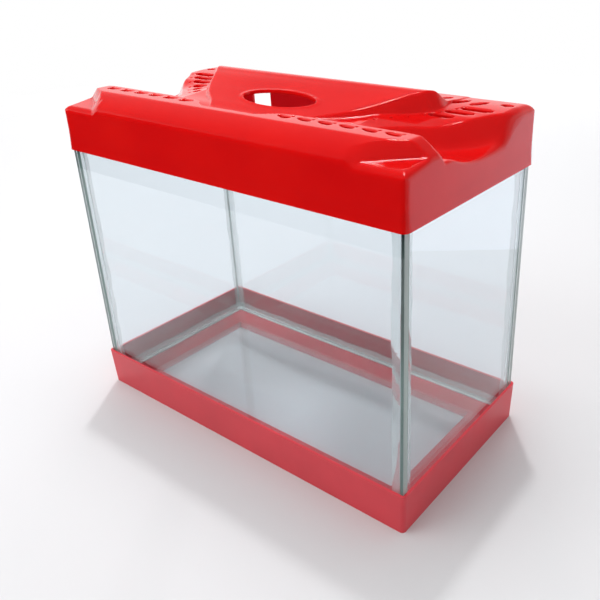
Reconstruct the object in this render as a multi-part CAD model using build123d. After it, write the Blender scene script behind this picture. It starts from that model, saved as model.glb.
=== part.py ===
from build123d import *
import math
import os

# Desktop aquarium: a small glass tank that stands in a moulded tray and wears a moulded lift-off hood.
# Millimetres, +Z up. The origin is on the floor under the middle of the tray; -Y is the long front.

# The glass tank
tank_length = 300.0
tank_width = 150.0
pane_height = 208.4
pane = 4.0
joint_gap = 0.6
joint_end_inset = 0.5
bead_leg = 5.0
bead_hollow = 4.2

# The tray
tray_height = 30.6
tray_wall_top = 2.0
tray_wall_foot = 1.0
tray_clearance = 0.3
tray_corner = 3.0
tray_skirt = 1.8
ledge_top = 6.0
ledge_thickness = 2.0
ledge_reach = 25.0
ledge_lip = 2.0
bed = 0.6
bed_width = 6.0
bed_inset = 1.0

# The hood: its wall, and where it sits on the glass
hood_skirt = 8.0
hood_clearance = 0.5
hood_wall = 2.0
hood_draft = 3.5
hood_corner = 3.5
rest_rim = 2.0
rest_reach = 3.0
rest_overlap = 0.4

# Heights on the hood, above the rim of the glass
front_shoulder = 21.5
front_bulge = 30.4
ridge_rise = 35.0
centre_low = 27.6
crest_rise = 42.8
rear_rise = 33.6
back_rise = 31.6
strip_rise = 26.4
valley_rise = 13.6
valley_front_rise = 27.0
recess_rise = 24.8
recess_front_rise = 22.6

# Places on the hood, in from the front face of the glass
bulge_in = 5.4
ridge_front_in = 16.0
ridge_back_in = 21.0
recess_back_in = 25.0
band_back_in = 33.0
band_slope = 3.0
strip_back_in = 53.0
knee_in = 62.0

# Places on the hood, in from the back face of the glass
crest_in = 47.0
crest_flat = 5.0
rear_in = 28.0
back_round = 4.0
valley_back_in = 11.0
slant_in = 20.0

# Places on the hood, in from the end face of the glass
band_end_in = 10.0
recess_foot_in = 31.0
recess_side_in = 24.0
recess_turn_in = 18.0
bend_in = 26.2
knee_end_in = 55.0
valley_tip_in = 66.0
crest_end_in = 53.0
rear_end_in = 47.0
oval_in = 10.0

# Places on the hood, from its middle
middle_front_half = 32.0
valley_depth = 4.0
bend_depth = 13.3

# The feed hole and the cable window
feed_length = 64.0
feed_width = 23.0
feed_depth = -7.0
feed_rim = 1.6
feed_rim_rise = 0.8
cable_width = 21.0
cable_in = 52.0
cable_rise = 15.0

# The drop-shaped holes along the band
drop_count = 6
drop_pitch = 16.06
drop_end_in = 24.5
drop_length = 7.0
drop_width = 3.2
drop_in = 27.0
dot_size = 1.8
dot_space = 2.2

# The vents: a fan of slots on each side, then slanted slots and an oval behind them
slot_count = 6
slot_pitch = 7.2
slot_back_in = 30.0
slot_width = 2.6
slot_start_in = 35.0
slot_start_step = 3.8
slot_end_in = 11.0
slot_end_step = 7.6
slant_count = 3
slant_pitch = 13.5
slant_end_in = 29.5
slant_length = 11.0
slant_angle = 50.0
oval_length = 8.0
oval_width = 4.0

# What the sizes above give
half_length = tank_length / 2
half_width = tank_width / 2
glass_foot = ledge_top + bed
glass_top = glass_foot + pane_height
skirt_foot = glass_top - hood_skirt
tray_top_edge = tray_clearance + tray_wall_top
tray_foot_edge = tray_clearance + tray_wall_foot
hood_edge = hood_clearance + hood_wall
inner_length = tank_length - 2 * pane
inner_width = tank_width - 2 * pane
floor_length = inner_length - 2 * joint_gap
floor_width = inner_width - 2 * joint_gap
floor_top = glass_foot + pane
opening_length = tank_length - 2 * ledge_reach
opening_width = tank_width - 2 * ledge_reach
ridge_front = ridge_front_in - half_width
ridge_back = ridge_back_in - half_width
band_back = band_back_in - half_width
band_foot = band_back + band_slope
recess_back = recess_back_in - half_width
valley_back = half_width - valley_back_in
rear_depth = half_width - rear_in
spare = 40.0
far = half_length + spare
deep = half_width + spare

os.makedirs("parts", exist_ok=True)


def block(size_x, size_y, low, high, x=0.0, y=0.0):
    """A plain block between two heights, centred on x and y."""
    middle = Pos(x, y, (low + high) / 2)
    return middle * Box(size_x, size_y, high - low)


def ring(outer_x, outer_y, inner_x, inner_y, low, high):
    """A rectangular frame between two heights."""
    return block(outer_x, outer_y, low, high) - block(inner_x, inner_y, low - 1, high + 1)


def along_length(points, half):
    """A solid whose outline is drawn in depth and height, and runs from -half to +half along X."""
    outline = make_face(Polyline(*[(0, y, z) for y, z in points], close=True))
    return Pos(-half, 0, 0) * extrude(outline, amount=2 * half, dir=(1, 0, 0))


def both_sides(solid):
    """The solid and its mirror image across the short centre line."""
    return [solid, mirror(solid, about=Plane.YZ)]


def make_tray():
    """The tray: four thin walls, a ledge that carries the tank, and a lip down to the floor."""
    foot = RectangleRounded(tank_length + 2 * tray_foot_edge, tank_width + 2 * tray_foot_edge, tray_corner)
    top = RectangleRounded(tank_length + 2 * tray_top_edge, tank_width + 2 * tray_top_edge, tray_corner)
    body = loft([foot, Pos(0, 0, tray_height) * top])
    well_x = tank_length + 2 * tray_clearance
    well_y = tank_width + 2 * tray_clearance
    body -= block(well_x, well_y, ledge_top, tray_height + 1)
    body -= block(opening_length, opening_width, -1, ledge_top + 1)
    skirt = 2 * (tray_foot_edge - tray_skirt)
    lip = 2 * ledge_lip
    body -= ring(
        tank_length + skirt, tank_width + skirt, opening_length + lip, opening_width + lip,
        -1, ledge_top - ledge_thickness,
    )
    return body


def make_panes():
    """Four walls and the floor of the tank, with a joint gap between each pair."""
    end_width = tank_width - 2 * pane - 2 * joint_gap
    front_y = half_width - pane / 2
    end_x = half_length - pane / 2
    return {
        "front_pane": block(tank_length, pane, glass_foot, glass_top, 0, -front_y),
        "back_pane": block(tank_length, pane, glass_foot, glass_top, 0, front_y),
        "left_pane": block(pane, end_width, glass_foot, glass_top, -end_x, 0),
        "right_pane": block(pane, end_width, glass_foot, glass_top, end_x, 0),
        "bottom_pane": block(floor_length, floor_width, glass_foot, floor_top),
    }


def make_joint_films():
    """The thin silicone in the joints: upright at the corners, and round the edge of the floor."""
    film_x = pane - 2 * joint_end_inset
    at_x = half_length - pane / 2
    at_y = inner_width / 2 - joint_gap / 2
    films = {}
    for end, side_x in (("left", -1), ("right", 1)):
        for side, side_y in (("front", -1), ("back", 1)):
            films[f"{side}_{end}_joint"] = block(
                film_x, joint_gap, glass_foot, glass_top - joint_end_inset, side_x * at_x, side_y * at_y
            )
    low = glass_foot + joint_end_inset
    high = floor_top - joint_end_inset
    for side, side_y in (("front", -1), ("back", 1)):
        films[f"floor_{side}_joint"] = block(floor_length, joint_gap, low, high, 0, side_y * at_y)
    end_at = inner_length / 2 - joint_gap / 2
    for end, side_x in (("left", -1), ("right", 1)):
        films[f"floor_{end}_joint"] = block(joint_gap, floor_width, low, high, side_x * end_at, 0)
    return films


def bead_outline():
    """A silicone bead's section: two legs on the glass and a hollow face."""
    first = (bead_leg, 0)
    second = (0, bead_leg)
    middle = (bead_leg - bead_hollow * 0.7071, bead_leg - bead_hollow * 0.7071)
    return make_face([Line((0, 0), first), ThreePointArc(first, middle, second), Line(second, (0, 0))])


def make_corner_beads():
    """The four upright beads that seal the tank's corners from inside."""
    low = floor_top + bead_leg
    height = glass_top - joint_end_inset - low
    bead = extrude(bead_outline(), amount=height)
    beads = {}
    for name, x, y, turn in (
        ("front_left_bead", -1, -1, 0),
        ("front_right_bead", 1, -1, 90),
        ("back_right_bead", 1, 1, 180),
        ("back_left_bead", -1, 1, 270),
    ):
        beads[name] = Pos(x * inner_length / 2, y * inner_width / 2, low) * Rot(0, 0, turn) * bead
    return beads


def make_floor_beads():
    """The four beads that lie along the edge of the floor pane and meet in the corners."""
    along = extrude(Plane.YZ * bead_outline(), amount=inner_length - 2 * bead_leg)
    across = extrude(Plane.YZ * bead_outline(), amount=inner_width - 2 * bead_leg)
    beads = {}
    for name, length, gap, turn, bead in (
        ("floor_front_bead", inner_length, inner_width, 0, along),
        ("floor_right_bead", inner_width, inner_length, 90, across),
        ("floor_back_bead", inner_length, inner_width, 180, along),
        ("floor_left_bead", inner_width, inner_length, 270, across),
    ):
        place = Pos(-length / 2 + bead_leg, -gap / 2, floor_top)
        beads[name] = Rot(0, 0, turn) * place * bead
    return beads


def make_beds():
    """Strips of silicone between the tray's ledge and the tank."""
    long_strip = tank_length - 2 * bed_inset
    short_strip = tank_width - 2 * (bed_inset + bed_width)
    at_x = half_length - bed_inset - bed_width / 2
    at_y = half_width - bed_inset - bed_width / 2
    return {
        "front_bed": block(long_strip, bed_width, ledge_top, glass_foot, 0, -at_y),
        "back_bed": block(long_strip, bed_width, ledge_top, glass_foot, 0, at_y),
        "left_bed": block(bed_width, short_strip, ledge_top, glass_foot, -at_x, 0),
        "right_bed": block(bed_width, short_strip, ledge_top, glass_foot, at_x, 0),
    }


def hood_form(inset):
    """The hood as one solid. The hollow inside it is the same form, drawn inset and lower."""
    base = glass_top - inset
    top = base + crest_rise + spare
    size_x = tank_length + 2 * hood_edge - 2 * inset
    size_y = tank_width + 2 * hood_edge - 2 * inset
    corner = hood_corner - inset * 0.75
    outline = Pos(0, 0, skirt_foot) * RectangleRounded(size_x, size_y, corner)
    body = extrude(outline, amount=top - skirt_foot, taper=hood_draft)
    body = body & (roof(inset, base) + bands(inset, base))
    for cutter in side_panel(inset, base) + valley(inset, base) + thumb_recess(inset, base):
        body -= cutter
    return body


def roof(inset, base):
    """The shape over the middle: front curve, ridge, rising middle, crest and rear."""
    lean = (hood_skirt + front_shoulder) * math.tan(math.radians(hood_draft))
    front = (0, lean - half_width - hood_edge + inset, base + front_shoulder)
    bulge = (0, bulge_in - half_width + inset / 2, base + front_bulge)
    ridge = (0, ridge_front + inset / 2, base + ridge_rise)
    before = (0, -deep, base + front_shoulder)
    crest = half_width - crest_in
    strip_back = strip_back_in - half_width
    heights = [
        (ridge_back - inset, ridge_rise), (band_back - inset, centre_low), (band_foot + 2, centre_low),
        (strip_back, centre_low + band_slope), (crest - crest_flat, crest_rise - 1.2), (crest, crest_rise),
        (crest + crest_flat, crest_rise), (rear_depth, rear_rise), (half_width - back_round, rear_rise - 1),
        (half_width, back_rise), (deep, back_rise),
    ]
    line = [ridge] + [(0, y, base + rise) for y, rise in heights]
    under = [(0, deep, skirt_foot - 1), (0, -deep, skirt_foot - 1), before]
    outline = make_face([ThreePointArc(front, bulge, ridge), Polyline(*line, *under, front)])
    return Pos(-far, 0, 0) * extrude(outline, amount=2 * far, dir=(1, 0, 0))


def bands(inset, base):
    """The flat band each side of the middle, as high as the ridge."""
    start = ridge_back - band_slope
    plan = [
        (middle_front_half, start), (middle_front_half + band_back - start, band_back),
        (far, band_back), (far, start),
    ]
    height = along_length(
        [
            (start, skirt_foot), (start, base + ridge_rise), (band_back - inset, base + ridge_rise),
            (band_foot - inset, base + strip_rise), (band_foot - inset, skirt_foot),
        ],
        far,
    )
    return both_sides(grown(plan, 0) & height)


def side_panel(inset, base):
    """What is cut away each side of the middle, down to the strip and the slotted plateau."""
    plan = [
        (middle_front_half, band_foot), (half_length - crest_end_in, half_width - crest_in),
        (half_length - rear_end_in, rear_depth), (far, rear_depth), (far, band_foot),
    ]
    above = along_length(
        [
            (band_foot, base + strip_rise), (strip_back_in - half_width, base + strip_rise),
            (0, base + strip_rise + 1), (half_width - crest_in, base + strip_rise + 4),
            (rear_depth, base + rear_rise), (deep, base + rear_rise), (deep, base + far),
            (band_foot, base + far),
        ],
        far,
    )
    return both_sides(grown(plan, inset) & Pos(0, -inset, 0) * above)


def valley_height(y):
    """How high the valley's floor is above the rim of the glass: a parabola each side of its lowest line."""
    edge, rise = (band_back, valley_front_rise) if y < valley_depth else (valley_back, rear_rise)
    return valley_rise + (rise - valley_rise) * ((y - valley_depth) / (edge - valley_depth)) ** 2


def valley(inset, base):
    """The scoop each side, open through the end, between the ridge and the slotted plateau."""
    plan = [
        (half_length - valley_tip_in, band_foot), (half_length - knee_end_in, knee_in - half_width),
        (half_length - bend_in, bend_depth), (half_length + hood_edge, valley_back - back_round),
        (far, valley_back), (far, band_back),
    ]
    steps = 8
    floor = []
    for step in range(steps + 1):
        y = band_back + (valley_back - band_back) * step / steps
        floor.append((0, y, base + valley_height(y)))
    lid = Polyline(floor[-1], (0, valley_back, base + far), (0, band_back, base + far), floor[0])
    above = Pos(-far, 0, 0) * extrude(make_face([Spline(*floor), lid]), amount=2 * far, dir=(1, 0, 0))
    return both_sides(grown(plan, inset) & above)


def thumb_recess(inset, base):
    """The scoop at each front corner, and the end of the ridge running down beside it."""
    foot = half_length - recess_foot_in
    side = half_length - recess_side_in
    band_end = half_length - band_end_in
    plan = [
        (foot, -deep), (foot, -half_width), (side - 4, (ridge_front - half_width) / 2 - 1),
        (side, ridge_front), (half_length - recess_turn_in, ridge_back), (band_end, recess_back),
        (far, recess_back), (far, -deep),
    ]
    above = along_length(
        [
            (-deep, base + recess_front_rise), (-half_width, base + recess_front_rise),
            (ridge_front, base + recess_rise), (band_foot, base + recess_rise),
            (band_foot, base + far), (-deep, base + far),
        ],
        far,
    )
    slope = Polyline(
        (band_end - inset, 0, base + ridge_rise), (half_length, 0, base + recess_rise),
        (far, 0, base + recess_rise), (far, 0, base + far), (band_end - inset, 0, base + far), close=True,
    )
    run = extrude(Pos(0, band_foot, 0) * make_face(slope), amount=band_foot - recess_back + 2, dir=(0, -1, 0))
    return both_sides(grown(plan, inset) & above) + both_sides(run)


def grown(points, by):
    """A tall solid over a plan outline that is grown by a wall's thickness."""
    outline = make_face(Polyline(*points, close=True))
    if by > 0:
        outline = offset(outline, amount=by, kind=Kind.INTERSECTION)
    return extrude(Pos(0, 0, skirt_foot) * outline, amount=hood_skirt + crest_rise + spare)


def make_hood():
    """The moulded hood: a shell that laps over the glass and rests on its rim."""
    outer = hood_form(0)
    inner = hood_form(hood_wall)
    shell = outer - inner
    # The skirt's straight pocket round the glass
    pocket_x = tank_length + 2 * hood_clearance
    pocket_y = tank_width + 2 * hood_clearance
    shell -= block(pocket_x, pocket_y, skirt_foot - 1, glass_top)
    # The rim inside that rests on the glass
    rim = ring(
        tank_length + 2 * rest_overlap, tank_width + 2 * rest_overlap,
        tank_length - 2 * rest_reach, tank_width - 2 * rest_reach,
        glass_top, glass_top + rest_rim,
    )
    shell += rim
    shell += feed_collar()
    return shell


def feed_collar():
    """The raised rim round the feed hole, before the hole is cut."""
    collar = Pos(0, feed_depth, glass_top) * Ellipse(feed_length / 2 + feed_rim, feed_width / 2 + feed_rim)
    height = roof(0, glass_top + feed_rim_rise)
    under = roof(0, glass_top - hood_wall / 2)
    return (extrude(collar, amount=crest_rise) & height) - under


def cut_openings(shell):
    """The feed hole, the cable window, the vents and the drop-shaped holes."""
    low = glass_top + rest_rim + 1
    height = crest_rise + spare
    feed = extrude(Pos(0, feed_depth, low) * Ellipse(feed_length / 2, feed_width / 2), amount=height)
    window = block(
        cable_width, 2 * (hood_edge + rest_reach + hood_wall), skirt_foot - 1, glass_top + cable_rise,
        cable_in - half_length, half_width + hood_edge,
    )
    cutters = [feed, window]
    for side in (-1, 1):
        for index in range(drop_count):
            x = half_length - drop_end_in - index * drop_pitch
            y = drop_in - half_width
            cutters.append(hole(side * x, y, drop_length, drop_width, low, height))
            cutters.append(dot(side * (x + drop_length / 2 + dot_space), y, low, height))
        for index in range(slot_count):
            start = half_length - slot_start_in - index * slot_start_step
            end = half_length - slot_end_in - index * slot_end_step
            y = half_width - slot_back_in - index * slot_pitch
            cutters.append(hole(side * (start + end) / 2, y, end - start, slot_width, low, height))
            cutters.append(dot(side * (start - dot_space), y, low, height))
        y = half_width - slant_in
        for index in range(slant_count):
            x = half_length - slant_end_in - index * slant_pitch
            cutters.append(hole(side * x, y, slant_length, slot_width, low, height, side * slant_angle))
        cutters.append(hole(side * (half_length - oval_in), y, oval_length, oval_width, low, height))
    return shell - cutters


def hole(x, y, length, width, low, height, turn=0):
    """A round-ended upright hole, long in X before it is turned."""
    return extrude(Pos(x, y, low) * Rot(0, 0, turn) * SlotOverall(length, width), amount=height)


def dot(x, y, low, height):
    """A small round upright hole."""
    return extrude(Pos(x, y, low) * Circle(dot_size / 2), amount=height)


def write(name, solid):
    solid.label = name
    export_step(solid, f"parts/{name}.step")


def main():
    nodes = {"base_tray": make_tray()}
    nodes.update(make_panes())
    nodes.update(make_joint_films())
    nodes.update(make_corner_beads())
    nodes.update(make_floor_beads())
    nodes.update(make_beds())
    nodes["hood_shell"] = cut_openings(make_hood())
    for name, solid in nodes.items():
        write(name, solid)


main()
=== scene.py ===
import math

import bmesh
import bpy
import numpy as np
from mathutils import Matrix, Vector, noise
from mathutils.geometry import delaunay_2d_cdt


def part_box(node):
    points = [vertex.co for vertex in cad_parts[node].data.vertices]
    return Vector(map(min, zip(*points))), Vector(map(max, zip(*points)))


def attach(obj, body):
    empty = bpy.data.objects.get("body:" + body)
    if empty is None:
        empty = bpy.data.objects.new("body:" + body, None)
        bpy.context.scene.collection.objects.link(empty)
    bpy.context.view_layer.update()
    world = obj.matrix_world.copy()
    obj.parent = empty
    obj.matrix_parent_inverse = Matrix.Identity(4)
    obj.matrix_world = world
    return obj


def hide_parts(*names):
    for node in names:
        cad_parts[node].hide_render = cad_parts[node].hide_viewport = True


# A small desktop aquarium: glass tank, moulded tray and moulded lift-off hood.
# Blender's own units are metres. The dictionaries give millimetres, and only the studio's gives metres.

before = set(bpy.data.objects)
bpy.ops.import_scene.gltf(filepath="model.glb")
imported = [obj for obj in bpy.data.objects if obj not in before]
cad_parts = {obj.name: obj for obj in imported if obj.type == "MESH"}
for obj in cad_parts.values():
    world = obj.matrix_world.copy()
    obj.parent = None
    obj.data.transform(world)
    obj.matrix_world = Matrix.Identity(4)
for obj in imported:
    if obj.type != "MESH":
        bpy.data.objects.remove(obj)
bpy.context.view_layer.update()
mm = 0.001
print("stage: frame loaded")

# The camera stands where the photograph was taken from
photo = {
    "size": 600.0,             # the photograph's side in pixels
    "focal": 695.6,            # focal length in pixels
    "middle": (366.1, 262.0),  # pixel that the view axis passes through
    "sensor": 36.0,
    "place": (335.3, -352.9, 343.7),
    "azimuth": 37.17,          # degrees, as are the next two
    "elevation": 24.59,
    "roll": -1.11,
}


def makeCamera(p):
    a, e, r = (math.radians(p[k]) for k in ("azimuth", "elevation", "roll"))
    back = Vector((math.sin(a) * math.cos(e), -math.cos(a) * math.cos(e), math.sin(e)))
    right = Vector((0, 0, 1)).cross(back).normalized()
    up = back.cross(right)
    side = right * math.cos(r) + up * math.sin(r)
    top = up * math.cos(r) - right * math.sin(r)
    data = bpy.data.cameras.new("camera")
    data.sensor_width = p["sensor"]
    data.lens = data.sensor_width * p["focal"] / p["size"]
    data.shift_x = (p["size"] / 2 - p["middle"][0]) / p["size"]
    data.shift_y = (p["middle"][1] - p["size"] / 2) / p["size"]
    data.clip_start = 0.01
    data.clip_end = 50.0
    cam = bpy.data.objects.new("camera", data)
    turn = Matrix((side, top, back)).transposed().to_4x4()
    cam.matrix_world = Matrix.Translation(Vector(p["place"]) * mm) @ turn
    bpy.context.scene.collection.objects.link(cam)
    bpy.context.scene.camera = cam


makeCamera(photo)
print("stage: camera set")


# Small helpers for meshes and nodes

def smoothCurve(points, at):
    # a smooth line through a few points, which never swings past them
    x, y = np.array(points, float).T
    step = np.diff(x)
    rise = np.diff(y) / step
    slope = np.zeros_like(y)
    both = rise[:-1] * rise[1:]
    slope[1:-1] = np.where(both > 0, 2 * both / np.where(both > 0, rise[:-1] + rise[1:], 1), 0)
    slope[0], slope[-1] = rise[0], rise[-1]
    at = np.clip(at, x[0], x[-1])
    k = np.clip(np.searchsorted(x, at, side="right") - 1, 0, len(step) - 1)
    s = (at - x[k]) / step[k]
    low = y[k] * (1 + 2 * s) * (1 - s) ** 2 + slope[k] * step[k] * s * (1 - s) ** 2
    high = y[k + 1] * s ** 2 * (3 - 2 * s) + slope[k + 1] * step[k] * s ** 2 * (s - 1)
    return low + high


def lower(a, b, blend):
    # the lower of two heights, with the crease between them rounded off
    t = np.clip(0.5 + 0.5 * (b - a) / blend, 0, 1)
    return b + (a - b) * t - blend * t * (1 - t)


def higher(a, b, blend):
    return -lower(-a, -b, blend)


def between(a, b, share):
    return [p + (q - p) * share for p, q in zip(a, b)]


def makeObject(name, verts, faces, body, node):
    mesh = bpy.data.meshes.new(name)
    mesh.from_pydata([Vector(v) * mm for v in verts], [], faces)
    obj = bpy.data.objects.new(name, mesh)
    bpy.context.scene.collection.objects.link(obj)
    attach(obj, body)
    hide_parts(node)
    return obj


def shade(obj, sharpAngle):
    # smooth shading, with a crisp line wherever two faces meet at more than the angle
    sharp = math.radians(sharpAngle)
    bm = bmesh.new()
    bm.from_mesh(obj.data)
    bmesh.ops.recalc_face_normals(bm, faces=bm.faces)
    for face in bm.faces:
        face.smooth = True
    for edge in bm.edges:
        edge.smooth = len(edge.link_faces) == 2 and edge.calc_face_angle() < sharp
    bm.to_mesh(obj.data)
    bm.free()


def roundEdges(obj, width, segments, turn=40):
    # a bevel on the edges that turn by more than so many degrees
    bevel = obj.modifiers.new("rounded edges", "BEVEL")
    bevel.width = width * mm
    bevel.segments = segments
    bevel.limit_method = "ANGLE"
    bevel.angle_limit = math.radians(turn)


def hexColour(code):
    # sRGB hex to the linear colour that a shader takes
    parts = [int(code[i:i + 2], 16) / 255 for i in (1, 3, 5)]
    return [p / 12.92 if p <= 0.04045 else ((p + 0.055) / 1.055) ** 2.4 for p in parts] + [1.0]


def addNode(tree, kind, links=None, **settings):
    made = tree.nodes.new(kind)
    for key, value in settings.items():
        setattr(made, key, value)
    for socket, value in (links or {}).items():
        if isinstance(value, bpy.types.NodeSocket):
            tree.links.new(value, made.inputs[socket])
        else:
            made.inputs[socket].default_value = value
    return made


def newMaterial(name):
    material = bpy.data.materials.new(name)
    material.use_nodes = True
    material.node_tree.nodes.clear()
    return material, material.node_tree


def dress(obj, *materials):
    obj.data.materials.clear()
    for material in materials:
        obj.data.materials.append(material)


# The hood's shape. Heights are above the rim of the glass, and places are from the hood's middle:
# u to either side, y towards the back. A list of pairs is a curve: for each place, its value there.
hood = {
    "wall": 2.0,
    "lean": 0.8,            # how far the walls come in from foot to top
    "draftHeight": 18.0,    # height over which they do so
    "corner": 4.6,          # corner radius at the foot
    "ridge": 35.0,          # the flat ridge along the front
    "ridgeFront": -59.0,
    # the front, which follows part of an ellipse down to its shoulder
    "shoulder": 21.5,
    "frontReach": 36.0,     # half length of the ellipse
    "frontUntil": -51.0,    # it cuts the top only in front of this
    # the raised middle and the flatter ground beside it, from front to back
    "middle": [(-80, 27.6), (-42, 27.6), (-36, 27.9), (-22, 30.7), (0, 36.0), (22, 41.4), (30, 42.8),
               (34, 42.3), (47, 34.0), (60, 33.3), (71, 32.8), (80, 31.8)],
    "middleEdge": [(-46, 32), (-42, 34), (-33, 41), (-23, 49.8), (-16.6, 57.9), (-9.6, 66.8),
                   (0.9, 76.4), (12.8, 85.2), (22.5, 92.3), (27.7, 96.5), (43.6, 102.4), (55, 105)],
    "middleSteep": 2.0,
    "plateau": [(-80, 26.4), (-22, 26.4), (0, 28.2), (28, 30.6), (47, 32.3), (60, 33.0), (71, 32.8),
                (80, 31.8)],
    "plateauTilt": [(-80, 0.14), (4, 0.14), (26, 0.0), (80, 0.0)],   # its fall towards the ends
    "plateauMiddle": 100.0,
    "plateauReach": (-20, 40),      # how far to both sides of its middle the tilt goes on
    # the band of holes behind the ridge, over u
    "bandBack": [(0, -54), (22, -54), (38, -44.4), (50, -42.4), (60, -42), (130, -42), (142, -44),
                 (152, -47)],
    "bandSteep": 1.8,
    "bandEnd": 140.0,               # where its end has begun to fall
    "bandEndFrom": 128.0,
    "bandEndSteep": 0.8,
    "bandEndBack": -40.0,           # behind this the fall gives out, as steeply as the next value
    "bandEndRise": 3.0,
    # the valley at each end
    "valleyEdge": [(-46, 82), (-39, 84), (-26, 88), (-13, 95), (-4.5, 103.6), (4.9, 114.8),
                   (13.3, 123.8), (20.1, 130.2), (33.4, 139.4), (45, 148.5), (57, 152), (66, 156)],
    "valleySteep": 1.7,
    "valleyLow": 13.6,
    "valleyLine": 4.0,              # the depth of the valley's lowest line
    "valleyFront": (-42, 27.0),     # a place and the height there
    "valleyBack": (64, 33.6),
    # the recess in each front corner, over u
    "recessEdge": [(104, -90), (110, -82), (114, -77.6), (117.3, -74.8), (121, -71.8), (127.7, -66.2),
                   (137.7, -59.6), (146, -54.6), (156, -50)],
    "recessSteep": [(104, 0.8), (112, 0.9), (120, 1.25), (130, 1.7), (140, 2.0), (156, 2.0)],
    "recess": [(-80, 23.6), (-72, 24.3), (-59, 25.8), (-50, 27.2), (-44, 28.0)],
    "recessFrom": 104.0,
    "recessLip": (0.5, 1.3, 114.0, 7.0),    # swell at its inner end: height, half width, place, reach
    # radius of the rounding along the outer edge, from front to back
    "edgeRound": [(-78, 5.0), (-66, 4.0), (-50, 2.2), (-10, 2.0), (6, 2.6), (20, 5.0), (34, 7.0),
                  (66, 7.0), (78, 6.5)],
    # how widely each crease is rounded off
    "blend": {"foot": 1.4, "crest": 1.8, "valley": 5.0, "band": 0.9, "bandEnd": 2.0, "recess": 0.7,
              "edge": 1.5, "front": 0.25},
    "aboveAll": 99.0,                   # a height that no part of the hood reaches
    "restRim": (150.4, 75.4, 147.0, 72.0, 2.0),     # outer and inner half sizes, and thickness
    "notch": (-108.5, -87.5, 15.0),     # the cable notch in the back wall: two sides and its top
}

# How finely the hood is drawn
hoodMesh = {
    "counts": (150, 76, 6),     # steps along the front, along an end and round a corner
    "ringCounts": (150, 76, 3),
    "rings": 10,                # such rows of points inside the outer edge, closest beside it
    "ringReach": 6.0,           # how far in the last one is
    "ringCorner": 0.3,          # the smallest corner radius of a row
    "ringGap": 0.5,             # from the last row to the grid
    "grid": 1.2,                # spacing of the grid on the top
    "split": 3,                 # how many times finer it is where the top bends
    "bend": 0.02,               # how far off straight three of those finer points must be
    "innerGrid": 4.0,           # spacing of the grid on the underside
    "innerClear": 2.0,          # how far it stays off the holes
    "innerTurns": 8,            # directions in which the underside looks for a lower place near by
    "innerLook": 0.9,           # how far it looks, as a share of the wall
    "wallRow": 7.0,             # a row of the walls is this far above the rim of the glass
    "rimRow": 0.7,              # the last row of the outer wall is this far under its top edge
    "innerRow": 0.5,            # no row of the inner wall comes nearer to the underside
    "step": 0.02,               # height of the small step where the inner wall begins to lean
    "sharp": 38,
}

hoodBox = [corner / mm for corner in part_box("hood_shell")]
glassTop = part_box("front_pane")[1].z / mm
footZ = hoodBox[0].z
footX, footY = hoodBox[1].x, hoodBox[1].y
topX, topY = footX - hood["lean"], footY - hood["lean"]


def besideLine(points, along, across):
    # how far a point is outside a plan line, square to the line, whose slope is taken over 1 mm
    line = smoothCurve(points, along)
    slope = smoothCurve(points, along + 0.5) - smoothCurve(points, along - 0.5)
    return (across - line) / np.sqrt(1 + slope ** 2)


def valleyHeight(y):
    low, line = hood["valleyLow"], hood["valleyLine"]
    frontY, frontZ = hood["valleyFront"]
    backY, backZ = hood["valleyBack"]
    front = low + (frontZ - low) * ((y - line) / (frontY - line)) ** 2
    back = low + (backZ - low) * ((y - line) / (backY - line)) ** 2
    return np.where(y < line, front, back)


def frontHeight(y):
    # the front falls in a long curve from the ridge to the shoulder
    reach = hood["frontReach"]
    ridgeAt = hood["ridgeFront"] + topY
    high = (hood["ridge"] - hood["shoulder"]) / math.sqrt(1 - ((reach - ridgeAt) / reach) ** 2)
    along = np.clip((reach - (y + topY)) / reach, 0, 1)
    return hood["shoulder"] + high * np.sqrt(1 - along ** 2)


def edgeFall(u, y):
    # how far the top is rounded down beside its outer edge
    away = lower(topX - u, topY - np.abs(y), hood["blend"]["edge"])
    radius = smoothCurve(hood["edgeRound"], y)
    left = np.clip(radius - away, 0, radius)
    return radius - np.sqrt(radius ** 2 - left ** 2)


def hoodHeight(x, y):
    # height of the hood's top above the rim of the glass
    u = np.abs(x)
    blend, aboveAll = hood["blend"], hood["aboveAll"]
    outward = np.clip(u - hood["plateauMiddle"], *hood["plateauReach"])
    plateau = smoothCurve(hood["plateau"], y) - smoothCurve(hood["plateauTilt"], y) * outward

    middle = smoothCurve(hood["middle"], y)
    flank = middle - besideLine(hood["middleEdge"], y, u) * hood["middleSteep"]
    h = lower(middle, higher(plateau, flank, blend["foot"]), blend["crest"])

    side = plateau - besideLine(hood["valleyEdge"], y, u) * hood["valleySteep"]
    h = lower(h, higher(valleyHeight(y), side, blend["valley"]), blend["crest"])

    behind = np.maximum(y - smoothCurve(hood["bandBack"], u), 0)
    h = higher(h, hood["ridge"] - behind * hood["bandSteep"], blend["band"])
    fall = hood["ridge"] - (u - hood["bandEnd"]) * hood["bandEndSteep"]
    fall = fall + np.maximum(y - hood["bandEndBack"], 0) * hood["bandEndRise"]
    h = lower(h, np.where(u > hood["bandEndFrom"], fall, aboveAll), blend["bandEnd"])

    recess = smoothCurve(hood["recess"], y)
    rise = besideLine(hood["recessEdge"], u, y) * smoothCurve(hood["recessSteep"], u)
    scoop = higher(recess, recess + rise, blend["recess"])
    lip, lipWidth, lipAt, lipReach = hood["recessLip"]
    swell = lip * np.exp(-((scoop - h) / lipWidth) ** 2 - ((u - lipAt) / lipReach) ** 2)
    h = lower(h, np.where(u > hood["recessFrom"], scoop, aboveAll), blend["crest"]) + swell

    h = h - edgeFall(u, y)
    return lower(h, np.where(y < hood["frontUntil"], frontHeight(y), aboveAll), blend["front"])


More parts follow.
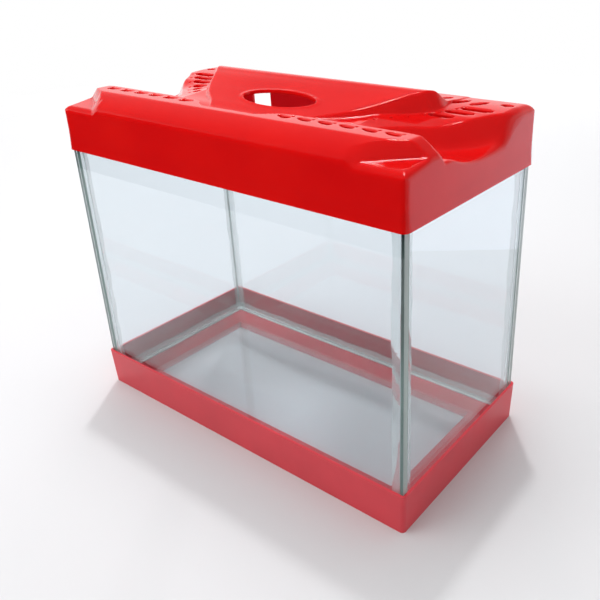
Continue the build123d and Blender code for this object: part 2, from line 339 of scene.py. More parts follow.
def innerHeight(x, y):
    # the underside: the lowest of the top near by, less the wall
    wall, turns = hood["wall"], hoodMesh["innerTurns"]
    look = wall * hoodMesh["innerLook"]
    low = hoodHeight(x, y) - wall
    for k in range(turns):
        a = k * math.tau / turns
        near = hoodHeight(x + math.cos(a) * look, np.clip(y + math.sin(a) * look, -topY, topY))
        low = np.minimum(low, near - wall / 2)
    return low


# The holes in the hood: drops and dots along the band, the fans of slots, the slanted slots and ovals
holes = {
    "feed": (64.0, 23.0, -8.0, 2.0),   # length, width, and where its middle is in depth and across
    "collar": (0.5, 1.8),              # how far the feed hole's rim stands up, and its width
    "dropCount": 6,
    "dropPitch": 16.06,
    "dropFirst": 45.2,
    "dropLine": -49.0,
    "dropHead": (2.0, -0.8),           # radius, and how far in front of the line
    "dropTail": (0.45, 1.5),           # radius, and how far behind it
    "dropLength": 9.0,
    "dotRadius": 0.9,
    "dropDot": (1.6, 3.0),             # from the head's middle: further out, and behind the line
    "slotCount": 6,                    # dots on each side
    "slots": {-1: 6, 1: 3},            # slots on the left and on the right
    "slotPitch": 9.0,
    "slotBack": 41.0,
    "slotRadius": 2.1,
    "slotStart": (115.5, -6.5),        # the inner end of the first slot, and the step to the next
    "slotEnd": (138.5, -8.2, -0.3),    # the outer end, the step, and how the step grows
    "slotDot": (1.2, -3.2),            # from a slot's end towards the left, and behind its line
    "slantCount": 3,
    "slantPitch": 13.5,
    "slantEnd": 121.5,
    "slantBack": 54.5,
    "slantLength": 14.0,
    "slantRadius": 1.6,
    "slantAngle": 56.0,
    "oval": (139.5, 58.5, 9.0, 2.2),   # its place across and in depth, its length and its radius
    "edge": (0.0, 0.1, 0.3, 0.55),     # rings round each hole, which round its edge over
    "apart": 0.3,                      # such a ring stays this far off other holes
    "clear": 1.6,                      # and the grid this far off every hole
}


def roundHole(x1, y1, r1, x2, y2, r2, grow, steps=7):
    # outline of a hole with two round ends of their own radius
    length = math.hypot(x2 - x1, y2 - y1)
    turn = math.atan2(y2 - y1, x2 - x1) if length else 0.0
    lean = math.acos((r1 - r2) / length) if length else math.pi / 2
    points = []
    for x, y, r, start, sweep in (
        (x2, y2, r2 + grow, turn - lean, 2 * lean),
        (x1, y1, r1 + grow, turn + lean, 2 * (math.pi - lean)),
    ):
        for k in range(steps):
            a = start + sweep * k / (steps - 1)
            points.append((x + r * math.cos(a), y + r * math.sin(a)))
    if length == 0:
        # a plain round hole has no straight sides, so its two halves share their end points
        points = points[:steps - 1] + points[steps:-1]
    return points


def feedHole(grow, steps=72):
    length, width, depth, across = holes["feed"]
    return [
        (across + (length / 2 + grow) * math.cos(k * math.tau / steps),
         depth + (width / 2 + grow) * math.sin(k * math.tau / steps))
        for k in range(steps)
    ]


def holeList():
    # every hole as a function of how far its outline is grown
    made = [feedHole]

    def add(*ends):
        made.append(lambda grow, ends=ends: roundHole(*ends, grow))

    h = holes
    for side in (-1, 1):
        y = h["dropLine"]
        for k in range(h["dropCount"]):
            x = h["dropFirst"] + k * h["dropPitch"]
            head, tail = side * (x + h["dropLength"] / 3), side * (x - h["dropLength"] * 2 / 3)
            add(head, y + h["dropHead"][1], h["dropHead"][0], tail, y + h["dropTail"][1], h["dropTail"][0])
            dot = head + side * h["dropDot"][0], y + h["dropDot"][1], h["dotRadius"]
            add(*dot, *dot)
        r = h["slotRadius"]
        for k in range(h["slotCount"]):
            start = h["slotStart"][0] + k * h["slotStart"][1]
            end = h["slotEnd"][0] + k * h["slotEnd"][1] + k * k * h["slotEnd"][2]
            y = h["slotBack"] - k * h["slotPitch"]
            if k < h["slots"][side]:
                add(side * (start + r), y, r, side * (end - r), y, r)
            leftEnd = side * (start if side > 0 else end)
            dot = leftEnd - h["slotDot"][0], y + h["slotDot"][1], h["dotRadius"]
            add(*dot, *dot)
        a = math.radians(h["slantAngle"])
        y, r = h["slantBack"], h["slantRadius"]
        half = h["slantLength"] / 2 - r
        for k in range(h["slantCount"]):
            x = h["slantEnd"] - k * h["slantPitch"]
            add(side * (x - half * math.cos(a)), y - half * math.sin(a), r,
                side * (x + half * math.cos(a)), y + half * math.sin(a), r)
        x, y, length, r = h["oval"]
        add(side * (x - length / 2 + r), y, r, side * (x + length / 2 - r), y, r)
    return made


def roundedLoop(halfX, halfY, radius, countX, countY, countCorner, keepX=()):
    # a rounded rectangle, anticlockwise from the front left; keepX are places that the back must have
    cx, cy = halfX - radius, halfY - radius
    backLine = list(np.linspace(cx, -cx, countX, endpoint=False)[1:])
    for place in keepX:
        backLine[int(np.argmin([abs(x - place) for x in backLine]))] = place
    loop = []
    for corner, (x, y) in enumerate(((-cx, -cy), (cx, -cy), (cx, cy), (-cx, cy))):
        for k in range(countCorner + 1):
            a = math.pi + corner * math.pi / 2 + k * math.pi / 2 / countCorner
            loop.append((x + radius * math.cos(a), y + radius * math.sin(a)))
        if corner == 0:
            loop += [(v, -halfY) for v in np.linspace(-cx, cx, countX, endpoint=False)[1:]]
        elif corner == 1:
            loop += [(halfX, v) for v in np.linspace(-cy, cy, countY, endpoint=False)[1:]]
        elif corner == 2:
            loop += [(v, halfY) for v in backLine]
        else:
            loop += [(-halfX, v) for v in np.linspace(cy, -cy, countY, endpoint=False)[1:]]
    return loop


def insidePolygon(points, polygon):
    polygon = np.array(polygon)
    ahead = np.roll(polygon, -1, axis=0)
    x, y = points[:, :1], points[:, 1:]
    crosses = (polygon[:, 1] > y) != (ahead[:, 1] > y)
    run = np.where(ahead[:, 1] == polygon[:, 1], 1, ahead[:, 1] - polygon[:, 1])
    where = polygon[:, 0] + (y - polygon[:, 1]) * (ahead[:, 0] - polygon[:, 0]) / run
    return (crosses & (x < where)).sum(axis=1) % 2 == 1


def gridPoints(halfX, halfY, spacing, split=1, height=None):
    # an even grid of points, with finer ones where the height bends
    nx, ny = (int(2 * half / spacing) * split + 1 for half in (halfX, halfY))
    x, y = np.meshgrid(np.linspace(-halfX, halfX, nx), np.linspace(-halfY, halfY, ny))
    keep = (np.arange(ny) % split == 0)[:, None] & (np.arange(nx) % split == 0)[None, :]
    if height:
        z = height(x, y)
        turn = np.zeros_like(z)
        turn[1:-1] = abs(z[2:] - 2 * z[1:-1] + z[:-2])
        turn[:, 1:-1] = np.maximum(turn[:, 1:-1], abs(z[:, 2:] - 2 * z[:, 1:-1] + z[:, :-2]))
        keep |= turn > hoodMesh["bend"]
    return np.stack((x[keep], y[keep]), axis=-1)


def fillSheet(outline, extras, grid, holeFns, holeRings, clear):
    # flat triangles over an outline with holes
    for hole in holeFns:
        grid = grid[~insidePolygon(grid, hole(clear))]
    count = len(outline)
    points = [tuple(p) for p in outline]
    edges = [(k, (k + 1) % count) for k in range(count)]
    grown = {}
    loops = []
    for number, hole in enumerate(holeFns):
        others = [other(holes["apart"]) for k, other in enumerate(holeFns) if k != number]
        for grow in holeRings:
            ring = hole(grow)
            if grow > 0:
                hit = np.any([insidePolygon(np.array(ring), other) for other in others], axis=0)
                ring = [point for point, bad in zip(ring, hit) if not bad]
            numbers = range(len(points), len(points) + len(ring))
            points += ring
            grown.update((k, grow) for k in numbers)
            if grow == holeRings[0]:
                loops.append(numbers)
                edges += zip(numbers, [*numbers[1:], numbers[0]])
    points += list(extras) + [tuple(p) for p in grid]
    insideOnly, nearest = 1, 1e-6       # points closer than the second value become one
    found = delaunay_2d_cdt([Vector(p) for p in points], edges, [], insideOnly, nearest)
    verts, faces, origins = found[0], found[2], found[3]
    place = {}
    for new, olds in enumerate(origins):
        for old in olds:
            place[old] = new
    owner = {}
    for number, loop in enumerate(loops):
        for old in loop:
            owner[place[old]] = number
    return {
        "points": np.array([tuple(v) for v in verts]),
        # a triangle with all its corners on the outline of one hole lies inside that hole
        "faces": [f for f in faces if not (f[0] in owner and len({owner.get(v) for v in f}) == 1)],
        "rim": [place[k] for k in range(count)],
        "loops": [[place[k] for k in loop] for loop in loops],
        "grown": {place[k]: grow for k, grow in grown.items()},    # how far off its hole each point is
    }


def holeFall(grow):
    # how far the edge of a hole is rounded down, this far off the hole
    r = holes["edge"][-1]
    left = r - min(grow, r)
    return r - math.sqrt(r * r - left * left)


def draftAt(z):
    # how much of its lean the wall has at a height: most of it low down, so that the walls stay even
    s = min((z - footZ) / hood["draftHeight"], 1)
    return s * (2 - s)


def wallLoop(inset):
    return roundedLoop(footX - inset, footY - inset, hood["corner"] - inset, *hoodMesh["counts"],
                       keepX=hood["notch"][:2])


def topSheet(holeFns):
    # the top, with its holes rounded over and a small collar round the feed hole
    m = hoodMesh
    rows = []
    for k in range(1, m["rings"] + 1):
        inset = m["ringReach"] * (k / m["rings"]) ** 2
        radius = max(hood["corner"] - hood["lean"] - inset, m["ringCorner"])
        rows += roundedLoop(topX - inset, topY - inset, radius, *m["ringCounts"])
    inset = m["ringReach"] + m["ringGap"]
    grid = gridPoints(topX - inset, topY - inset, m["grid"], m["split"], hoodHeight)
    sheet = fillSheet(wallLoop(hood["lean"]), rows, grid, holeFns, holes["edge"], holes["clear"])
    x, y = sheet["points"].T
    z = glassTop + hoodHeight(x, y)
    for k, grow in sheet["grown"].items():
        z[k] -= holeFall(grow)
    rise, collar = holes["collar"]
    length, width, depth, across = holes["feed"]
    ratio = np.hypot((x - across) / (length / 2), (y - depth) / (width / 2))
    away = (ratio - 1) * width / 2
    sheet["z"] = z + rise * np.cos(np.clip(away / collar, 0, 1) * math.pi / 2) ** 2
    return sheet


def underSheet(holeFns):
    wall, spacing = hood["wall"], hoodMesh["innerGrid"]
    grid = gridPoints(topX - wall - spacing, topY - wall - spacing, spacing)
    outline = wallLoop(hood["lean"] + wall)
    sheet = fillSheet(outline, [], grid, holeFns, (0.0,), hoodMesh["innerClear"])
    sheet["z"] = glassTop + innerHeight(*sheet["points"].T)
    return sheet


def addWalls(verts, faces, insideFaces, top, under, base):
    # rows of points from the foot up to the outlines of the top and of the underside
    m = hoodMesh
    wall, lean = hood["wall"], hood["lean"]
    left, right, notchHigh = hood["notch"]
    foot, head = wallLoop(0), wallLoop(lean)
    footIn, headIn = wallLoop(wall), wallLoop(lean + wall)
    around = len(foot)
    shelf, notchTop = glassTop + m["wallRow"], glassTop + notchHigh
    outer, inner = [], []
    for k in range(around):
        high, highIn = top["z"][top["rim"][k]], under["z"][under["rim"][k]]
        beam = min(notchTop, (shelf + high) / 2)
        column, columnIn = [], []
        for z in (footZ, glassTop, shelf, beam, (beam + high) / 2, high - m["rimRow"]):
            column.append(len(verts))
            verts.append((*between(foot[k], head[k], draftAt(z)), z))
        for z in (footZ, glassTop - m["step"], glassTop, shelf, beam):
            columnIn.append(len(verts))
            share = 0 if z < glassTop else draftAt(z)
            verts.append((*between(footIn[k], headIn[k], share), min(z, highIn - m["innerRow"])))
        outer.append([*column, top["rim"][k]])
        inner.append([*columnIn, base + under["rim"][k]])

    slack = 0.01                    # a point this near to the notch's side counts as on it
    onNotch = [y > footY - slack and left - slack <= x <= right + slack for x, y in foot]
    inNotch = [onNotch[k] and onNotch[(k + 1) % around] for k in range(around)]
    beamRow, beamRowIn = 3, 4       # the rows at the notch's top
    for k in range(around):
        j = (k + 1) % around
        start, startIn = (beamRow, beamRowIn) if inNotch[k] else (0, 0)
        for row in range(start, len(outer[k]) - 1):
            faces.append((outer[k][row], outer[j][row], outer[j][row + 1], outer[k][row + 1]))
        for row in range(startIn, len(inner[k]) - 1):
            insideFaces.append(len(faces))
            faces.append((inner[j][row], inner[k][row], inner[k][row + 1], inner[j][row + 1]))
        faces.append((outer[k][start], inner[k][startIn], inner[j][startIn], outer[j][start]))
        for side, beside in ((k, k - 1), (j, j)):
            if inNotch[k] and not inNotch[beside % around]:
                # an upright side of the notch, through the thickness of the wall
                o, i = outer[side], inner[side]
                faces.append((o[0], o[1], i[1], i[0]))
                faces.append((o[1], i[2], i[1]))
                faces.append((o[1], o[2], i[3], i[2]))
                faces.append((o[2], o[3], i[4], i[3]))


def addRestRim(verts, faces):
    # the rim that rests on the glass, open at the notch
    left, right = hood["notch"][:2]
    outX, outY, inX, inY, thick = hood["restRim"]
    section = ((outX, outY, 0), (inX, inY, 0), (inX, inY, thick), (outX, outY, thick))
    count = len(section)
    rows = []
    for sx, sy in ((None, 1), (-1, 1), (-1, -1), (1, -1), (1, 1), (None, 1)):
        end = right if rows else left
        rows.append(range(len(verts), len(verts) + count))
        verts += [(end if sx is None else sx * x, sy * y, glassTop + z) for x, y, z in section]
    for a, b in zip(rows, rows[1:]):
        for k in range(count):
            j = (k + 1) % count
            faces.append((a[k], a[j], b[j], b[k]))
    faces += [tuple(rows[0]), tuple(reversed(rows[-1]))]


def makeHood():
    # gives the hood and the numbers of the faces on its inside
    holeFns = holeList()
    top, under = topSheet(holeFns), underSheet(holeFns)
    verts = [(x, y, z) for (x, y), z in zip(top["points"], top["z"])]
    faces = [tuple(f) for f in top["faces"]]
    base = len(verts)
    verts += [(x, y, z) for (x, y), z in zip(under["points"], under["z"])]
    faces += [tuple(base + v for v in reversed(f)) for f in under["faces"]]
    insideFaces = list(range(len(top["faces"]), len(faces)))
    for a, b in zip(top["loops"], under["loops"]):
        for k in range(len(a)):
            j = (k + 1) % len(a)
            faces.append((a[k], a[j], base + b[j], base + b[k]))
    addWalls(verts, faces, insideFaces, top, under, base)
    addRestRim(verts, faces)
    obj = makeObject("hood_moulding", verts, faces, "hood", "hood_shell")
    shade(obj, hoodMesh["sharp"])
    return obj, insideFaces


hoodObject, hoodInside = makeHood()
print("stage: hood", len(hoodObject.data.vertices), "points")

# Red ABS, injection moulded in a polished tool, so it is glossy with a faint waviness
hoodPlastic = {
    "colour": "#e21210",
    "deep": "#d90e10",
    "cloud": 60.0,              # mm, size of the faint clouds between the two colours
    "cloudDetail": 3.0,
    "roughness": (0.06, 0.10),
    "ior": 1.32,                # below ABS's own 1.54, since its upright walls mirror little
    "sheen": "#ffffff",
    "glow": 0.35,               # share of light that goes into the wall and comes out redder
    "glowReach": 6.0,           # mm
    "glowColours": (1.0, 0.12, 0.1),    # how far red, green and blue spread, as shares of that
    "wave": 25.0,               # mm, size of the moulding's waviness
    "waveHeight": 0.03,
    "waveDetail": 1.0,
}
# The inside of the same moulding, from the unpolished half of the tool, so it is matt. Its red is painted
# lighter than the outside's: painted light where little light reaches the inside
insideMattWithPaintedLight = {
    **hoodPlastic,
    # painted light: a brighter red than the outside's, standing in for the light that hardly reaches the
    # inside
    "colour": "#f20d24",
    "deep": "#e80b20",
    "roughness": (0.5, 0.6),
    "ior": 1.2,
}
# The tray is moulded in a tool with a fine grain, so it is satin and looks paler
trayPlastic = {
    **hoodPlastic,
    "colour": "#e04650",
    "deep": "#d43e48",
    "cloud": 40.0,
    "roughness": (0.30, 0.42),
    "ior": 1.46,
    "sheen": "#ffd8dc",
    "glow": 0.0,
    "wave": 14.0,
    "waveHeight": 0.08,
    "edge": 0.7,                # mm, how far its edges are rounded
}


def addWaves(tree, size, height, detail):
    # a faint unevenness of the surface, with its size and height in millimetres
    where = addNode(tree, "ShaderNodeTexCoord").outputs["Object"]
    wave = addNode(tree, "ShaderNodeTexNoise", {
        "Vector": where,
        "Scale": 1 / (size * mm),
        "Detail": detail,
    })
    bump = addNode(tree, "ShaderNodeBump", {
        "Height": wave.outputs["Fac"],
        "Strength": 1.0,
        "Distance": height * mm,
    })
    return bump.outputs["Normal"]


def makeMouldedPlastic(name, p):
    material, tree = newMaterial(name)
    where = addNode(tree, "ShaderNodeTexCoord").outputs["Object"]
    cloud = addNode(tree, "ShaderNodeTexNoise", {
        "Vector": where,
        "Scale": 1 / (p["cloud"] * mm),
        "Detail": p["cloudDetail"],
    })
    faint, full = 0.3, 0.7      # nearly all of the noise lies between these
    ramp = addNode(tree, "ShaderNodeValToRGB", {"Fac": cloud.outputs["Fac"]})
    for element, at, colour in zip(ramp.color_ramp.elements, (faint, full), (p["deep"], p["colour"])):
        element.position = at
        element.color = hexColour(colour)
    gloss = addNode(tree, "ShaderNodeMapRange", {
        "Value": cloud.outputs["Fac"],
        "From Min": faint,
        "From Max": full,
        "To Min": p["roughness"][0],
        "To Max": p["roughness"][1],
    })
    shader = addNode(tree, "ShaderNodeBsdfPrincipled", {
        "Base Color": ramp.outputs["Color"],
        "Roughness": gloss.outputs["Result"],
        "IOR": p["ior"],
        "Specular Tint": hexColour(p["sheen"]),
        "Subsurface Weight": p["glow"],
        "Subsurface Radius": p["glowColours"],
        "Subsurface Scale": p["glowReach"] * mm,
        "Normal": addWaves(tree, p["wave"], p["waveHeight"], p["waveDetail"]),
    })
    addNode(tree, "ShaderNodeOutputMaterial", {"Surface": shader.outputs["BSDF"]})
    return material


redHood = makeMouldedPlastic("red polished ABS", hoodPlastic)
redTray = makeMouldedPlastic("red satin ABS", trayPlastic)
redInsideWithPaintedLight = makeMouldedPlastic("red matt ABS, inner face with painted light", insideMattWithPaintedLight)
dress(hoodObject, redHood, redInsideWithPaintedLight)
# the faces on the inside take the matt material with its painted light
for index in hoodInside:
    hoodObject.data.polygons[index].material_index = 1
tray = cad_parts["base_tray"]
dress(tray, redTray)
roundEdges(tray, trayPlastic["edge"], 2)
print("stage: plastic")

# Float glass: drawn clear, then cut and seamed, so its edges are matt and a little green
glass = {
    "colour": "#f1f6f9",
    "edge": "#cbd8d5",
    "ior": 1.5,
    "tint": "#d9e6e4",      # what the light keeps of each colour inside the glass
    "density": 3.0,         # and how strongly, for each metre
    "edgeRoughness": 0.3,
    "edgeClear": 0.4,       # how much light still goes through a cut edge
    "edgeTurn": (0.5, 0.6),     # how squarely a face looks along the pane's axis: up to the first it
                                # is a cut edge, and from the second one of the two large faces
    "shadow": "#ffffff",
    "arris": 0.3,           # width of the seam along each edge
}


def letLampsThrough(tree, shader, tint):
    # the light of the lamps goes straight through, with only a faint shadow of this tint
    clear = addNode(tree, "ShaderNodeBsdfTransparent", {"Color": hexColour(tint)})
    path = addNode(tree, "ShaderNodeLightPath")
    mix = addNode(tree, "ShaderNodeMixShader", {
        0: path.outputs["Is Shadow Ray"],
        1: shader.outputs["BSDF"],
        2: clear.outputs["BSDF"],
    })
    return mix.outputs["Shader"]


def makeFloatGlass(name, axis, p):
    # axis is the one that is square to the pane's two large faces
    material, tree = newMaterial(name)
    normal = addNode(tree, "ShaderNodeNewGeometry").outputs["Normal"]
    parts = addNode(tree, "ShaderNodeSeparateXYZ", {"Vector": normal})
    facing = addNode(tree, "ShaderNodeMath", {0: parts.outputs[axis]}, operation="ABSOLUTE")
    edge = addNode(tree, "ShaderNodeMapRange", {
        "Value": facing.outputs[0],
        "From Min": p["edgeTurn"][0],
        "From Max": p["edgeTurn"][1],
        "To Min": 1.0,
        "To Max": 0.0,
    }).outputs["Result"]
    rough = addNode(tree, "ShaderNodeMath", {0: edge, 1: p["edgeRoughness"]}, operation="MULTIPLY")
    through = addNode(tree, "ShaderNodeMapRange", {"Value": edge, "To Min": 1.0, "To Max": p["edgeClear"]})
    colours = {0: edge, 6: hexColour(p["colour"]), 7: hexColour(p["edge"])}
    colour = addNode(tree, "ShaderNodeMix", colours, data_type="RGBA")
    shader = addNode(tree, "ShaderNodeBsdfPrincipled", {
        "Base Color": colour.outputs[2],
        "Roughness": rough.outputs[0],
        "IOR": p["ior"],
        "Transmission Weight": through.outputs["Result"],
    })
    inside = addNode(tree, "ShaderNodeVolumeAbsorption", {
        "Color": hexColour(p["tint"]),
        "Density": p["density"],
    })
    addNode(tree, "ShaderNodeOutputMaterial", {
        "Surface": letLampsThrough(tree, shader, p["shadow"]),
        "Volume": inside.outputs["Volume"],
    })
    return material


longGlass = makeFloatGlass("float glass, long pane", "Y", glass)
endGlass = makeFloatGlass("float glass, end pane", "X", glass)
floorGlass = makeFloatGlass("float glass, floor pane", "Z", glass)
for name, material in (("front_pane", longGlass), ("back_pane", longGlass), ("left_pane", endGlass),
                       ("right_pane", endGlass), ("bottom_pane", floorGlass)):
    dress(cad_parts[name], material)
    roundEdges(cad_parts[name], glass["arris"], 1)
print("stage: glass")

# Clear silicone: run into the corners and tooled by finger, so it is smooth, clear and a little wavy
silicone = {
    "colour": "#f6fafa",
    "roughness": 0.08,
    "ior": 1.22,            # below silicone's 1.41, since no air lies between it and the glass
    "clear": 0.8,           # the rest is its milkiness
    "shadow": "#fafcfc",
    "ripple": 7.0,          # mm, size of the waves in its face
    "rippleHeight": 0.5,
    "rippleDetail": 2.0,
    "upright": (6.0, 1.2),  # how far an upright bead reaches along the glass, and how much that varies
    "level": (5.0, 1.3),    # the same for the bead round the floor
    "wander": 16.0,         # mm, length of the waves in its outline
    "tatter": 3.0,          # mm, length of the small nicks in its outline
    "nick": 0.25,           # depth of the nicks, as a share of how much the bead varies
    "uprightSeed": 0.5,     # the seeds give each bead its own waves
    "levelSeed": 20.5,
    "legSeed": 3.7,
    "tatterSeed": 5.0,
    "gap": 0.03,            # a hair's gap to the glass, so that the faces don't meet
    "underRim": 1.0,        # how far under the glass's rim the upright beads end
    "step": 1.6,            # mm between sections
    "sections": 6,
    "sharp": 60,
}
# A film squeezed into a joint lies on the matt cut edge of a pane, so it looks hazy
hazyFilm = {**silicone, "colour": "#a9bab6", "roughness": 0.4, "clear": 0.45}
# The silicone under the glass isn't tooled, so it is matt and milky
milkyBed = {**silicone, "colour": "#dfe4e3", "roughness": 0.4, "clear": 0.6}


def makeSilicone(name, p):
    material, tree = newMaterial(name)
    shader = addNode(tree, "ShaderNodeBsdfPrincipled", {
        "Base Color": hexColour(p["colour"]),
        "Roughness": p["roughness"],
        "IOR": p["ior"],
        "Transmission Weight": p["clear"],
        "Normal": addWaves(tree, p["ripple"], p["rippleHeight"], p["rippleDetail"]),
    })
    surface = letLampsThrough(tree, shader, p["shadow"])
    addNode(tree, "ShaderNodeOutputMaterial", {"Surface": surface})
    return material


def reachAt(p, size, along, seed):
    # how far the bead reaches at a place along it: a slow wander and small nicks
    wide, vary = size
    slow = noise.noise(Vector((along / p["wander"], seed, 0.0)))
    quick = noise.noise(Vector((along / p["tatter"], seed, p["tatterSeed"])))
    return wide + vary * (slow + p["nick"] * max(quick, 0))


def makeBead(node, size, seed, corner, along, legA, legB, length, material):
    # a bead along one line: corner is its start, legA and legB point away from the glass corner
    p = silicone
    count = max(int(length / p["step"]), 2)
    corner, along, legA, legB = (Vector(v) for v in (corner, along, legA, legB))
    verts, faces = [], []
    for k in range(count + 1):
        at = length * k / count
        a, b = reachAt(p, size, at, seed), reachAt(p, size, at, seed + p["legSeed"])
        start = corner + along * at
        verts.append(start)
        for n in range(p["sections"] + 1):
            turn = math.pi / 2 * n / p["sections"]
            # the face is hollow, as a fingertip leaves it
            verts.append(start + legA * a * (1 - math.sin(turn)) + legB * b * (1 - math.cos(turn)))
    ring = p["sections"] + 2
    for k in range(count):
        for n in range(ring):
            m = (n + 1) % ring
            faces.append((k * ring + n, k * ring + m, (k + 1) * ring + m, (k + 1) * ring + n))
    faces.append(tuple(range(ring)))
    faces.append(tuple(reversed(range(count * ring, (count + 1) * ring))))
    obj = makeObject(node + "_run", verts, faces, "tank", node)
    shade(obj, p["sharp"])
    dress(obj, material)


clearSilicone = makeSilicone("clear silicone", silicone)
hazySilicone = makeSilicone("hazy silicone film", hazyFilm)
milkySilicone = makeSilicone("milky silicone bed", milkyBed)
for name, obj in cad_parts.items():
    if name.endswith("_bed") or (name.endswith("_joint") and name.startswith("floor_")):
        dress(obj, milkySilicone)
    elif name.endswith("_joint"):
        dress(obj, hazySilicone)

# The beads run along the inside of the glass
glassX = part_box("right_pane")[0].x / mm - silicone["gap"]
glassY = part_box("back_pane")[0].y / mm - silicone["gap"]
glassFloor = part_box("bottom_pane")[1].z / mm + silicone["gap"]
beadTop = glassTop - silicone["underRim"]
up, rightward, backward = (0, 0, 1), (1, 0, 0), (0, 1, 0)
for k, (name, sx, sy) in enumerate((("front_left_bead", -1, -1), ("front_right_bead", 1, -1),
                                    ("back_left_bead", -1, 1), ("back_right_bead", 1, 1))):
    makeBead(name, silicone["upright"], silicone["uprightSeed"] + k,
             (sx * glassX, sy * glassY, glassFloor), up, (-sx, 0, 0), (0, -sy, 0),
             beadTop - glassFloor, clearSilicone)
for k, (name, sx, sy) in enumerate((("floor_front_bead", -1, -1), ("floor_back_bead", -1, 1),
                                    ("floor_left_bead", -1, -1), ("floor_right_bead", 1, -1))):
    alongX = name in ("floor_front_bead", "floor_back_bead")
    makeBead(name, silicone["level"], silicone["levelSeed"] + k,
             (sx * glassX, sy * glassY, glassFloor), rightward if alongX else backward,
             (0, -sy, 0) if alongX else (-sx, 0, 0), up,
             2 * (glassX if alongX else glassY), clearSilicone)
print("stage: silicone")

# The studio, in metres: a pale floor, soft lamps, and a white surround that is mirrored greyer overhead
studio = {
    "floor": "#dedee0",
    "floorSize": 6.0,
    "floorRoughness": 0.9,
    "floorSheen": 0.1,
    "fade": (0.7, 1.7),         # from the middle, where the floor gives way to the surround
    "world": "#ffffff",
    "ambient": 0.55,            # how bright the surround is as a light
    "overhead": 0.3,            # how bright its upper part is in a mirror image
    "gradient": (0.26, 0.5),    # how steep a direction is where that part begins and where it is full
    "lamps": (
        # name, place, what it looks at, width, height, power, colour, lights, is mirrored
        ("key", (-0.75, -1.0, 1.15), (0, 0, 0.12), 0.9, 0.9, 6.6, "#ffffff", True, False),
        ("overhead", (-0.15, 0.05, 1.35), (0, 0, 0.2), 0.7, 0.7, 7.0, "#ffffff", True, False),
        ("glint", (-0.06, 0.11, 1.35), (0, 0, 0.2), 0.24, 0.45, 11.0, "#ffffff", False, True),
        ("window", (-1.6, 2.1, 0.95), (0, 0, 0.25), 2.4, 0.9, 14.0, "#ffffff", True, False),
        ("window sun", (-1.9, 2.5, 1.45), (0, 0, 0.05), 0.3, 0.3, 66.0, "#ffffff", True, False),
        ("end card", (0.40, 0.33, 0.14), (0.15, 0.0, 0.22), 0.7, 0.3, 0.4, "#dfe6ff", False, True),
    ),
    # a dark cloth in front, which only mirror images show, keeps the hood's front a deep red
    "flag": ((-3.0, -0.42, 0.004), (1.0, -0.42, 0.004), (1.0, -1.6, 1.3), (-3.0, -1.6, 1.3)),
    "flagColour": "#1c1416",
}


def makeFloor(p):
    bpy.ops.mesh.primitive_plane_add(size=p["floorSize"], location=(0, 0, 0))
    floor = bpy.context.object
    floor.name = "floor"
    material, tree = newMaterial("matt paper floor")
    shader = addNode(tree, "ShaderNodeBsdfPrincipled", {
        "Base Color": hexColour(p["floor"]),
        "Roughness": p["floorRoughness"],
        "Specular IOR Level": p["floorSheen"],
    })
    where = addNode(tree, "ShaderNodeTexCoord").outputs["Object"]
    away = addNode(tree, "ShaderNodeVectorMath", {0: where}, operation="LENGTH")
    fade = addNode(tree, "ShaderNodeMapRange", {
        "Value": away.outputs["Value"],
        "From Min": p["fade"][0],
        "From Max": p["fade"][1],
    }, interpolation_type="SMOOTHSTEP")
    nothing = addNode(tree, "ShaderNodeBsdfTransparent")
    mix = addNode(tree, "ShaderNodeMixShader", {
        0: fade.outputs["Result"],
        1: shader.outputs["BSDF"],
        2: nothing.outputs["BSDF"],
    })
    addNode(tree, "ShaderNodeOutputMaterial", {"Surface": mix.outputs["Shader"]})
    dress(floor, material)


def makeFlag(p):
    sheet = bpy.data.meshes.new("flag")
    sheet.from_pydata(p["flag"], [], [(0, 1, 2, 3)])
    flag = bpy.data.objects.new("flag", sheet)
    bpy.context.scene.collection.objects.link(flag)
    material, tree = newMaterial("black flag cloth")
    cloth = addNode(tree, "ShaderNodeBsdfDiffuse", {"Color": hexColour(p["flagColour"])})
    addNode(tree, "ShaderNodeOutputMaterial", {"Surface": cloth.outputs["BSDF"]})
    dress(flag, material)
    for kind in ("camera", "diffuse", "transmission", "shadow"):
        setattr(flag, "visible_" + kind, False)


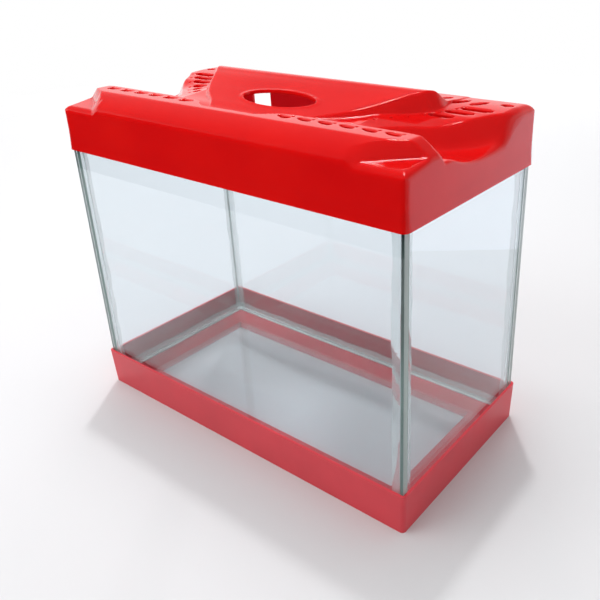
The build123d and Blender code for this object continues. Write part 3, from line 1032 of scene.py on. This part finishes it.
def makeWorld(p):
    world = bpy.data.worlds.new("studio")
    world.use_nodes = True
    tree = world.node_tree
    tree.nodes.clear()
    path = addNode(tree, "ShaderNodeLightPath").outputs
    where = addNode(tree, "ShaderNodeTexCoord").outputs["Generated"]
    steep = addNode(tree, "ShaderNodeSeparateXYZ", {0: where})
    mirrored = addNode(tree, "ShaderNodeMapRange", {
        "Value": steep.outputs["Z"],
        "From Min": p["gradient"][0],
        "From Max": p["gradient"][1],
        "To Min": 1.0,
        "To Max": p["overhead"],
    }, interpolation_type="SMOOTHSTEP")
    light = addNode(tree, "ShaderNodeMapRange", {
        "Value": path["Is Glossy Ray"],
        "To Min": p["ambient"],
        "To Max": mirrored.outputs["Result"],
    })
    # seen straight or through the glass it is plain white
    seen = addNode(tree, "ShaderNodeMath", {
        0: path["Is Camera Ray"],
        1: path["Is Transmission Ray"],
    }, operation="MAXIMUM")
    level = addNode(tree, "ShaderNodeMapRange", {
        "Value": seen.outputs[0],
        "To Min": light.outputs["Result"],
        "To Max": 1.0,
    })
    back = addNode(tree, "ShaderNodeBackground", {
        "Color": hexColour(p["world"]),
        "Strength": level.outputs["Result"],
    })
    addNode(tree, "ShaderNodeOutputWorld", {"Surface": back.outputs["Background"]})
    bpy.context.scene.world = world


def makeLamp(name, place, target, width, height, power, tint, lights, mirrored):
    data = bpy.data.lights.new(name, "AREA")
    data.shape = "RECTANGLE"
    data.size, data.size_y, data.energy = width, height, power
    data.color = hexColour(tint)[:3]
    lamp = bpy.data.objects.new(name, data)
    lamp.location = place
    lamp.rotation_euler = (Vector(target) - Vector(place)).to_track_quat("-Z", "Y").to_euler()
    lamp.visible_camera = False
    lamp.visible_transmission = False
    lamp.visible_diffuse = lights
    lamp.visible_glossy = mirrored
    bpy.context.scene.collection.objects.link(lamp)


bpy.context.scene.view_settings.view_transform = "Standard"
makeFloor(studio)
makeFlag(studio)
makeWorld(studio)
for lamp in studio["lamps"]:
    makeLamp(*lamp)
print("stage: studio set")
